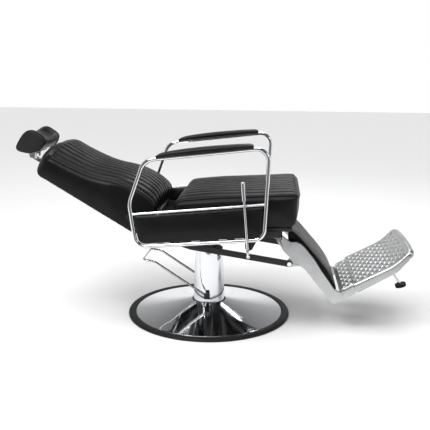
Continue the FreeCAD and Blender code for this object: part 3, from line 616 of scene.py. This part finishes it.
def sew_channels(obj, panel, rest, half, blend, seams, ends, depth):
    """Presses sewn lines into one run of a cushion and puffs the leather between them.

    seams holds (place across, strength); ends holds where the lines fade, as parts of the run.
    """
    points, normals = get_points(obj), get_normals(obj)
    across = points[:, 1] / MM
    weight = blend(across)
    near, along = run_distance(points, *panel, weight)
    far, _ = run_distance(points, *rest, weight)
    on_panel = step_between(1, 9, far - near)
    on_panel *= (step_between(ends[0], ends[0] + 0.03, along)
                 * step_between(ends[1], ends[1] + 0.03, 1 - along))
    on_panel *= step_between(3, 11, half - np.abs(across))
    groove = np.zeros(len(points))
    lines = np.array([place for place, _ in seams] + [-half, half], float)
    for place, strength in seams:
        groove = np.maximum(groove, strength * np.exp(-np.abs((across - place) / 3.4) ** 1.5))
    lines.sort()
    cell = np.clip(np.searchsorted(lines, across) - 1, 0, len(lines) - 2)
    middle = (across - lines[cell]) / (lines[cell + 1] - lines[cell])
    puff = 1 - np.abs(2 * np.clip(middle, 0, 1) - 1) ** 2.2
    shift = (puff * depth * 0.55 - groove * depth) * on_panel * MM
    set_points(obj, points + normals * shift[:, None])


def surface_of(obj):
    work = bmesh.new()
    work.from_mesh(obj.data)
    tree = BVHTree.FromBMesh(work)
    work.free()
    return tree


def lay_on(tree, line, lift):
    """The line drawn on to a surface, standing lift (m) proud of it."""
    laid = []
    for spot in line:
        place, normal, _, _ = tree.find_nearest(Vector(spot))
        laid.append(place + normal * lift)
    return laid


def tube(name, line, radius, material, closed=False):
    """A round cord of mesh along a line."""
    curve = bpy.data.curves.new(name, "CURVE")
    curve.dimensions = "3D"
    curve.bevel_depth = radius
    curve.bevel_resolution = 2
    curve.use_fill_caps = not closed
    spline = curve.splines.new("POLY")
    spline.points.add(len(line) - 1)
    for point, spot in zip(spline.points, line):
        point.co = (*spot, 1)
    spline.use_cyclic_u = closed
    cord = bpy.data.objects.new(name + "_line", curve)
    scene.collection.objects.link(cord)
    bpy.context.view_layer.update()
    graph = bpy.context.evaluated_depsgraph_get()
    mesh = bpy.data.meshes.new_from_object(cord.evaluated_get(graph), depsgraph=graph)
    bpy.data.objects.remove(cord)
    mesh.materials.clear()
    mesh.materials.append(material)
    mesh.polygons.foreach_set("use_smooth", [True] * len(mesh.polygons))
    obj = bpy.data.objects.new(name, mesh)
    scene.collection.objects.link(obj)
    return obj


def relaxed(line, closed, rounds=3):
    """The line with its small kinks averaged out."""
    spots = np.array([tuple(spot) for spot in line])
    for _ in range(rounds):
        if closed:
            spots = (np.roll(spots, 1, 0) + 2 * spots + np.roll(spots, -1, 0)) / 4
        else:
            spots[1:-1] = (spots[:-2] + 2 * spots[1:-1] + spots[2:]) / 4
    return spots


def stitches(name, line):
    """A row of separate thread stitches along a line."""
    total = np.linalg.norm(np.diff(line, axis=0), axis=1).sum()
    count = max(2, int(total / STITCH_PITCH))
    spots = spaced(line, count * 2)
    rings, sides = ((-0.5, 0.25), (-0.32, 1.0), (0.32, 1.0), (0.5, 0.25)), 6
    points, faces = [], []
    for index in range(count - 1):
        middle = (spots[2 * index] + spots[2 * index + 1]) / 2
        ahead = spots[2 * index + 1] - spots[2 * index]
        ahead /= np.linalg.norm(ahead)
        side = np.cross(ahead, (0.0, 0.0, 1.0))
        side /= max(np.linalg.norm(side), 1e-9)
        above = np.cross(side, ahead)
        faces += tube_faces(len(rings), sides, len(points))
        for reach, size in rings:
            for step in range(sides):
                angle = math.tau * step / sides
                spoke = side * math.cos(angle) + above * math.sin(angle)
                points.append(middle + ahead * STITCH_LENGTH * reach
                              + spoke * STITCH_RADIUS * size)
    return add_mesh(name, points, faces, materials["thread"])


def sew_rows(name, skin, panel, places, count, kept):
    """Rows of stitches laid in a panel's seams; kept says which points of each row stay."""
    rows = []
    for index, place in enumerate(places):
        line = [(x * MM, place * MM, z * MM) for x, z in spaced(panel[1], count)[kept]]
        rows.append(stitches("%s_%d" % (name, index), relaxed(lay_on(skin, line, 0.0), False)))
    return rows


def finish_pad(obj, body, node, extras=()):
    """Hangs a cushion and what is sewn to it on a body, in place of the CAD node."""
    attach(obj, body)
    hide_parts(node)
    for piece in extras:
        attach(piece, body)


# ---------------- upholstery
def outline(panel_edge, panel_crown, rest_edge, rest_crown):
    """Panel and rest runs at the sides and in the middle, and the closed outlines they make."""
    panel = [spaced(smooth_run(run), 56) for run in (panel_edge, panel_crown)]
    rest = [spaced(run, 44) for run in (rest_edge, rest_crown)]
    edge, crown = (np.vstack([a, b[1:-1]]) for a, b in zip(panel, rest))
    return panel, rest, edge, crown


def near_line(points, line, reach):
    """Which points lie within reach (m) of a line of points."""
    found = np.zeros(len(points), bool)
    for spot in np.array(line):
        found |= ((points - spot) ** 2).sum(1) < reach * reach
    return found


def panel_border(panel, half, blend):
    """The loop round a panel: along both sides and across both ends, in metres."""
    edge, crown = panel
    loop = [(x * MM, -half * MM, z * MM) for x, z in edge]
    for row in (-1, 0):
        places = np.linspace(-half, half, 60)[1:-1]
        if row == 0:
            places = places[::-1]
            loop += [(x * MM, half * MM, z * MM) for x, z in edge[::-1]]
        for y in places:
            x, z = edge[row] + (crown[row] - edge[row]) * float(blend(np.array([y]))[0])
            loop.append((x * MM, y * MM, z * MM))
    return loop


def crowned(half, fullness=4, rise=0.5):
    """How far a section has gone from edge to crown at each place across a cushion."""
    return lambda y: np.maximum(0, 1 - np.abs(y / half) ** fullness) ** rise


def seat_cushion():
    """The seat: boxed sides, a corded top panel and five sewn seams, flat on its board."""
    half, board_top = 256.0, 0.449
    blend = crowned(half)
    below = [(368, 545), (364, 500), (363, 476), (357, 458), (345, 448), (330, 444.5),
             (-100, 444.5), (-112, 450), (-116, 470)]
    panel, rest, edge, crown = outline(
        [(-118, 507), (-110, 529), (-94, 541), (-51, 547), (46, 557), (142, 563), (260, 570),
         (340, 575), (362, 573), (371, 565)],
        [(-118, 509), (-110, 536), (-94, 549), (-51, 555), (46, 564), (142, 569), (260, 576),
         (340, 581), (363, 577), (371, 566)],
        [(371, 565)] + below + [(-118, 507)], [(371, 566)] + below + [(-118, 509)])
    pad = loft("seat_upholstery", edge, crown, half, blend, 72, materials["leather_black"])
    welt = panel_border(panel, half, blend)

    def held(points):
        return (points[:, 2] < board_top) | near_line(points, welt, 0.0055)

    inflate(pad, 0.0055, held, 0.010, 4.0)
    round_sides(pad, panel, rest, half, blend, 15.0)
    round_corners(pad, (372, 540), (1, 0), 26.0, half)
    sewn = (-172, -86, 0, 86, 172)
    seams = [(place, 1.0) for place in sewn]
    seams += [(place, 0.6) for place in (-215, -129, -43, 43, 129, 215)]
    sew_channels(pad, panel, rest, half, blend, seams, (-0.03, 0.01), 5.0)
    skin = surface_of(pad)
    cord = tube("seat_welt", relaxed(lay_on(skin, welt, 0.0012), True), 0.0027,
                materials["leather_black"], True)
    rows = sew_rows("seat_stitch", skin, panel, sewn, 60, slice(3, -3))
    finish_pad(pad, "seat", "seat_cushion", [cord] + rows)


def back_cushion():
    """The back: a long curved panel between two cords, with a deep seam along each side."""
    half, side_seam = 232.0, 205
    blend = crowned(half, 2.6, 0.8)
    end_edge = [(-607, 695), (-611, 706), (-617, 714), (-628, 717), (-642, 711), (-652, 700),
                (-659, 686), (-665, 668), (-669, 650), (-666, 633), (-656, 619), (-642, 612.5),
                (-276, 395), (-268, 400), (-256, 412), (-236, 430)]
    end_crown = [(-605, 734), (-617, 740), (-628, 741), (-642, 735), (-653, 719), (-659, 697),
                 (-665, 670)] + end_edge[8:]
    panel, rest, edge, crown = outline(
        [(-236, 430), (-210, 460), (-194, 492), (-209, 527), (-240, 551), (-274, 570), (-344, 600),
         (-425, 617), (-479, 635), (-545, 665), (-607, 695)],
        [(-236, 430), (-203, 466), (-190, 500), (-192, 530), (-206, 556), (-240, 586), (-312, 620),
         (-437, 649), (-530, 690), (-575, 715), (-605, 734)],
        end_edge, end_crown)
    pad = loft("back_upholstery", edge, crown, half, blend, 72, materials["leather_black"])
    welt = [(x * MM, side * half * MM, z * MM)
            for side in (-1, 1) for x, z in spaced(panel[0], 110)]
    rear = np.array([-math.sin(BACK_SLOPE), 0, -math.cos(BACK_SLOPE)])
    corner = np.array([-0.642, 0, 0.6125])

    def held(points):
        return ((points - corner) @ rear > -0.004) | near_line(points, welt, 0.0055)

    inflate(pad, 0.0055, held, 0.012, 4.0)
    round_sides(pad, panel, rest, half, blend, 9.5,
                lambda x: 0.25 + 0.75 * step_between(-330, -380, x))
    along_back = (-math.cos(BACK_SLOPE), math.sin(BACK_SLOPE))
    round_corners(pad, (-632, 735), along_back, 40.0, half)
    sewn = (-side_seam, side_seam, -123, -41, 41, 123)
    seams = [(place, 1.5 if abs(place) == side_seam else 1.0) for place in sewn]
    seams += [(place, 0.6) for place in (-164, -82, 0, 82, 164)]
    sew_channels(pad, panel, rest, half, blend, seams, (-0.03, -0.03), 5.0)
    skin = surface_of(pad)
    extras = []
    for name, side in SIDES:
        line = [(x * MM, side * half * MM, z * MM) for x, z in spaced(panel[0], 150)]
        extras.append(tube("back_welt_" + name, relaxed(lay_on(skin, line, 0.0012), False, 5),
                           0.0028, materials["leather_black"]))
    extras += sew_rows("back_stitch", skin, panel, sewn, 70, slice(2, -3))
    finish_pad(pad, "backrest", "back_cushion", extras)


def headrest_cushion():
    """The headrest: a bolster dished in its middle, with corded ends of lighter vinyl."""
    half, underside = 95.0, 0.7

    def blend(y):
        return 1 - step_between(18, 84, np.abs(y))

    edge = np.array([(-800, 716), (-793, 703), (-771, 698), (-748, 693.5), (-719, 700),
                     (-699, 706), (-683, 724), (-677, 738), (-674, 752), (-681, 762),
                     (-695, 771), (-711, 782), (-727, 789), (-743, 786), (-756, 780),
                     (-768, 768), (-779, 752), (-791, 733)], float)
    dips = np.array([0, 0, 0, 0, 0, 0, 0, 2, 5, 9, 12, 14, 14, 12, 9, 5, 2, 0], float)
    crown = edge - dips[:, None] * np.array([[math.sin(BACK_SLOPE), math.cos(BACK_SLOPE)]])
    edge, crown = (spaced(np.vstack([run, run[:1]]), 73)[:-1] for run in (edge, crown))
    pad = loft("headrest_upholstery", edge, crown, half, blend, 60, materials["leather_black"])
    ends = [[(x * MM, side * (half - 3) * MM, z * MM) for x, z in edge] for side in (-1, 1)]

    def held(points):
        return (points[:, 2] < underside) | near_line(points, ends[0] + ends[1], 0.004)

    inflate(pad, 0.0042, held, 0.006, 3.0)
    pad.data.materials.append(materials["leather_grey"])
    for face in pad.data.polygons:
        if abs(face.center.y) > (half - 9) * MM and abs(face.normal.y) > 0.72:
            face.material_index = 1
    skin = surface_of(pad)
    extras = []
    for name, line in zip(("right", "left"), ends):
        extras.append(tube("headrest_welt_" + name, relaxed(lay_on(skin, line, 0.001), True),
                           0.0024, materials["leather_black"], True))
    finish_pad(pad, "headrest", "headrest_cushion", extras)


def calf_pad():
    """The calf pad: a thin curved pad, held along its back."""
    half = 158.0
    blend = crowned(half)
    below = [(528, 164), (518, 161), (490, 190), (450, 244), (394, 308), (354, 352), (333, 368)]
    panel, _, edge, crown = outline(
        [(338, 417), (362, 398), (386, 375), (427, 329), (465, 285), (498, 241), (519, 202),
         (531, 172)],
        [(340, 420), (365, 402), (391, 379), (432, 333), (470, 289), (503, 245), (524, 205),
         (534, 173)],
        [(531, 172)] + below + [(332, 404), (338, 417)],
        [(534, 173)] + below + [(332, 406), (340, 420)])
    pad = loft("calf_upholstery", edge, crown, half, blend, 48, materials["leather_black"])
    welt = panel_border(panel, half, blend)
    back = [(x * MM, z * MM) for x, z in below[1:]]

    def held(points):
        spots = points[:, [0, 2]]
        close = np.zeros(len(points), bool)
        for start, end in zip(back, back[1:]):
            close |= segment_gap(spots, np.array(start), np.array(end))[0] < 0.005
        return close | near_line(points, welt, 0.0045)

    inflate(pad, 0.005, held, 0.008, 4.0)
    skin = surface_of(pad)
    cord = tube("calf_welt", relaxed(lay_on(skin, welt, 0.001), True), 0.0024,
                materials["leather_black"], True)
    finish_pad(pad, "legrest", "calf_pad", [cord])


SIDE_PANEL = [(-264, 486), (233, 536), (228.5, 416), (-246.5, 373.5)]     # corners in XZ, mm
PANEL_CROWN, PANEL_SHOULDER = 0.0052, 0.055       # its height, and its run in from the rim, m


def side_panels():
    """The arm loops' filled panels: the CAD shape thinned, padded and crowned on both faces."""
    thinned = 0.6
    for side, sign in SIDES:
        node = "side_panel_" + side
        mesh = nodes[node].data.copy()
        pad = bpy.data.objects.new("side_upholstery_" + side, mesh)
        scene.collection.objects.link(pad)
        add_weld(pad)
        bake_modifiers(pad)
        pad.data.materials.clear()
        pad.data.materials.append(materials["leather_black"])
        points = get_points(pad)
        middle = sign * ARM_MIDDLE * MM
        points[:, 1] = middle + (points[:, 1] - middle) * thinned
        set_points(pad, points)
        work = bmesh.new()
        work.from_mesh(pad.data)
        rim = [edge for edge in work.edges
               if abs(edge.verts[0].co.y - edge.verts[1].co.y) < 1e-6
               and edge.calc_face_angle(0) > 0.7]
        line = []
        for edge in rim:
            start, end = (vertex.co for vertex in edge.verts)
            count = max(2, int((end - start).length / 0.004))
            line += [tuple(start.lerp(end, step / count)) for step in range(count)]
        work.free()

        def held(points):
            return near_line(points, line, 0.0035)

        inflate(pad, 0.0045, held, 0.006, 3.0)
        points = get_points(pad)
        away = points[:, 1] - middle
        ahead = np.sign(away) * np.minimum(1, np.abs(away) / 0.006)
        inner = np.full(len(points), 1.0)
        for start, end in zip(SIDE_PANEL, SIDE_PANEL[1:] + SIDE_PANEL[:1]):
            gap, _ = segment_gap(points[:, [0, 2]], np.array(start) * MM, np.array(end) * MM)
            inner = np.minimum(inner, gap)
        rise = np.sin(np.pi / 2 * np.minimum(1, inner / PANEL_SHOULDER))
        points[:, 1] += ahead * PANEL_CROWN * rise
        set_points(pad, points)
        finish_pad(pad, "seat", node)


# ---------------- moulded arm pads
def arm_pads():
    """Pads that follow the arm tube's slope, with flattened sides and rounded ends."""
    top = smooth_run([(-176, 720), (-166, 727), (-140, 736), (-95, 744.5), (-45, 752), (30, 761),
                      (120, 769), (170, 772), (186, 771), (193, 766)], 8)
    rear, front, rounding, ring = -176, 193, 12, 28
    tube_slope = 57 / 474
    for side, sign in SIDES:
        points = []
        for x, z in top:
            base = 703 + tube_slope * (x + 222) + 4.5
            ends = (min(1.0, max(0.0, (x - rear) / rounding)) ** 0.5
                    * min(1.0, max(0.0, (front - x) / rounding)) ** 0.5)
            width = (24 + 4.5 * min(1.0, max(0.0, (x - rear) / 120))) * (0.72 + 0.28 * ends)
            middle, tall = (z + base) / 2, max(3.2, (z - base) / 2) * (0.6 + 0.4 * ends)
            for step in range(ring):
                angle = math.tau * step / ring
                across = math.copysign(abs(math.cos(angle)) ** 0.55, math.cos(angle))
                up = math.copysign(abs(math.sin(angle)) ** 0.8, math.sin(angle))
                points.append((x * MM, (sign * ARM_MIDDLE + width * across) * MM,
                               (middle + tall * up) * MM))
        pad = add_mesh("arm_pad_moulded_" + side, points, tube_faces(len(top), ring),
                       materials["black_plastic"])
        face_outwards(pad)
        subdivide(pad)
        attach(pad, "seat")
        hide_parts("arm_pad_" + side)


# ---------------- footplate casting
DIAMOND_HEIGHT = 2.2                    # mm
TONGUE_LENGTH = 52                      # mm of pattern before the tread's own begins


def diamonds(along, across):
    """Height, 0 to 1, of the raised diamonds at places along and across the tread (mm)."""
    pitch, spread = 16.0, 27.0
    long_half, wide_half = 15.0, 25.5
    column = np.round(along / pitch)
    best = np.zeros(np.broadcast(along, across).shape)
    for shift in (-1, 0, 1):
        place = column + shift
        offset = spread * np.mod(place, 2)
        row = np.round((across - offset) / (2 * spread)) * 2 * spread + offset
        away = np.abs(along - place * pitch) / long_half + np.abs(across - row) / wide_half
        best = np.maximum(best, step_between(0, 1, np.clip((1.0 - away) / 0.5, 0, 1)))
    return best


def tread_shell():
    """The tread's skin: patterned top, rounded sides and skirts, bowed nose."""
    half = 193.0
    top = spaced(smooth_run([(600, 206), (640, 227.6), (690, 255), (737, 281.5), (770, 309),
                             (798, 338), (809, 349.5), (817, 353), (825, 350.5), (828, 343.5),
                             (825.5, 337)], 8), 124)
    low = spaced([(604, 184.5), (618, 178), (680, 214), (739, 250), (778, 279), (804, 311),
                  (817, 327), (822, 333)], 124)
    reach = reach_along(top)
    run = np.gradient(top, axis=0)
    run /= np.linalg.norm(run, axis=1, keepdims=True)
    out = np.stack([-run[:, 1], run[:, 0]], 1)
    radius = 5.0
    skirt = np.linspace(0, 1, 6)[:-1]
    turn = np.linspace(0, math.pi / 2, 5)
    flat = np.linspace(-half + radius, half - radius, 133)[1:-1]
    nose_bow, corner_bow, corner_size, bow_way = 8.0, 15.0, 30, (0.63, 0.70)
    ramp = step_between(150, 255, reach)
    points = []
    for row in range(len(top)):
        side = []
        base = top[row] - out[row] * radius
        for part in skirt:
            spot = low[row] + (base - low[row]) * part
            side.append((-half, spot))
        for angle in turn:
            side.append((-half + radius * (1 - math.cos(angle)),
                         base + out[row] * radius * math.sin(angle)))
        section = side + [(y, top[row]) for y in flat] + [(-y, spot) for y, spot in side[::-1]]
        for y, spot in section:
            corner = max(0.0, (abs(y) - (half - corner_size)) / corner_size)
            bow = nose_bow * (y / half) ** 2
            bow += corner_bow * (1 - math.sqrt(max(0.0, 1 - corner ** 2)))
            points.append([spot[0] - bow * ramp[row] * bow_way[0], y,
                           spot[1] - bow * ramp[row] * bow_way[1]])
    points = np.array(points).reshape(len(top), -1, 3)
    first = len(skirt) + len(turn)
    area = slice(first, first + len(flat))
    raised = diamonds(reach[:, None] + TONGUE_LENGTH, flat[None, :])
    mask = step_between(178, 172, np.abs(flat))[None, :] * step_between(246, 240, reach)[:, None]
    mask = mask * step_between(0, 4, reach)[:, None]
    lift = DIAMOND_HEIGHT * raised * mask
    points[:, area, 0] += lift * out[:, 0][:, None]
    points[:, area, 2] += lift * out[:, 1][:, None]
    rows, columns = points.shape[:2]
    faces = [(spot, spot + 1, spot + columns + 1, spot + columns)
             for row in range(rows - 1) for spot in range(row * columns, (row + 1) * columns - 1)]
    shell = add_mesh("tread_skin", points.reshape(-1, 3) * MM, faces, materials["cast_aluminium"])
    thick = shell.modifiers.new("thick", "SOLIDIFY")
    thick.thickness = 0.0045
    thick.offset = -1
    bake_modifiers(shell)
    return shell


def tread_tongue():
    """The narrow hinge end of the tread, with the same diamonds."""
    half = 178.0
    top = spaced([(556, 182), (602, 207.2)], 26)
    reach = reach_along(top)
    run = (top[-1] - top[0]) / np.linalg.norm(top[-1] - top[0])
    out = np.array([-run[1], run[0]])
    across = np.linspace(-half, half, 121)
    lift = DIAMOND_HEIGHT * diamonds(reach[:, None], across[None, :])
    lift = lift * step_between(half, half - 5, np.abs(across))[None, :]
    lift = lift * step_between(0, 3, reach)[:, None]
    points, faces = [], []
    thickness = 5.5
    for layer, thick in ((lift, 0.0), (lift * 0, thickness)):
        for row in range(len(top)):
            for column, y in enumerate(across):
                spot = top[row] + out * (layer[row][column] - thick)
                points.append((spot[0] * MM, y * MM, spot[1] * MM))
    rows, columns = len(top), len(across)
    sheet = rows * columns
    for r in range(rows - 1):
        for c in range(columns - 1):
            a, b = r * columns + c, (r + 1) * columns + c
            faces.append((a, a + 1, b + 1, b))
            faces.append((sheet + a, sheet + b, sheet + b + 1, sheet + a + 1))
    rim = [(0, c) for c in range(columns)] + [(r, columns - 1) for r in range(1, rows)]
    rim += [(rows - 1, c) for c in range(columns - 2, -1, -1)]
    rim += [(r, 0) for r in range(rows - 2, 0, -1)]
    rim = [r * columns + c for r, c in rim]
    for start, end in zip(rim, rim[1:] + rim[:1]):
        faces.append((start, sheet + start, sheet + end, end))
    plate = add_mesh("tread_tongue", points, faces, materials["cast_aluminium"])
    face_outwards(plate)
    return plate


def extruded(name, corners, low, high, material, round_off=0.0015):
    """A bar of XZ outline between two places across, with its edges rounded."""
    points = [(x * MM, y * MM, z * MM) for y in (low, high) for x, z in corners]
    bar = add_mesh(name, points, tube_faces(2, len(corners)), material, False)
    face_outwards(bar)
    edges = bar.modifiers.new("edges", "BEVEL")
    edges.width = round_off
    edges.segments = 3
    edges.limit_method = "ANGLE"
    bake_modifiers(bar)
    return bar


def footplate():
    """The cast footplate in one piece: tread, tongue, hinge knuckle, ribs and boss."""
    metal = materials["cast_aluminium"]
    low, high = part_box("footplate_pin")
    px, pz = (low.x + high.x) / 2 / MM, (low.z + high.z) / 2 / MM
    knuckle = [(px - 8, pz + 2), (px - 7, pz - 4), (px - 2, pz - 8), (px + 4, pz - 7),
               (px + 8, pz), (px + 9, pz + 20), (px, pz + 21.5)]
    rib = [(606, 203), (737, 274), (790, 325), (800, 330), (786, 305), (742, 258), (620, 190)]
    boss = [(714, 262), (754, 286), (757, 274), (740, 262), (722, 254)]
    casting = tread_shell()
    parts = [tread_tongue(), extruded("tread_knuckle", knuckle, -164, 164, metal)]
    parts += [extruded("tread_rib", rib, y - 2.5, y + 2.5, metal, 0.001)
              for y in (-120, -60, 60, 120)]
    parts.append(extruded("tread_boss", boss, -14, 14, metal, 0.002))
    for part in parts:
        fuse(casting, part)
    casting.name = casting.data.name = "footplate_casting"
    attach(casting, "footrest")
    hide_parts("footplate")


def fuse(obj, other):
    """Adds the other object's faces to the first one's mesh."""
    work = bmesh.new()
    work.from_mesh(obj.data)
    work.from_mesh(other.data)
    work.to_mesh(obj.data)
    work.free()
    bpy.data.objects.remove(other)


# ---------------- turned pieces of the base
def turned(name, profile, material, segments=160):
    """A ring turned about the swivel axis from a closed outline (radius, z) in mm."""
    count = len(profile)
    points, faces = [], []
    for step in range(segments):
        angle = math.tau * step / segments
        points += [(r * MM * math.cos(angle), r * MM * math.sin(angle), z * MM)
                   for r, z in profile]
    for step in range(segments):
        after = (step + 1) % segments
        for row in range(count):
            across = (row + 1) % count
            faces.append((step * count + row, after * count + row,
                          after * count + across, step * count + across))
    ring = add_mesh(name, points, faces, material)
    face_outwards(ring)
    return ring


def base_ring():
    """The rubber ring that laps over the floor plate's edge."""
    profile = [(335.6, 0.2), (347.5, 0.2), (349.6, 1.6), (350, 4), (349.7, 6.6), (348.4, 8.9),
               (346, 10.4), (342.5, 11.3), (338, 11.6), (325, 11.6), (321, 11.3), (318.8, 10.6),
               (318.2, 9.6), (318.2, 8.3), (335.6, 8.1)]
    ring = turned("base_ring_moulded", profile, materials["rubber"])
    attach(ring, "base")
    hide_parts("base_trim_ring")


# Edge rounding of the CAD nodes, m: the plain width, and the nodes that are rounder.
PLAIN_ROUND = 0.0006
EDGE_ROUNDS = {"leg_rail_left": 0.0022, "leg_rail_right": 0.0022, "stop_foot": 0.0025,
               "pump_body": 0.001, "link_left": 0.001, "link_right": 0.001,
               "leg_pivot_bolts": 0.0018, "link_pins": 0.0012, "swivel_hub": 0.0015,
               "seat_frame": 0.0015, "column_cap": 0.0008}

materials = make_materials()
add_camera()
add_surroundings()
add_lights()
add_floor()
seat_cushion()
back_cushion()
headrest_cushion()
calf_pad()
side_panels()
arm_pads()
footplate()
base_ring()
dress_cad_nodes()
bpy.context.view_layer.update()
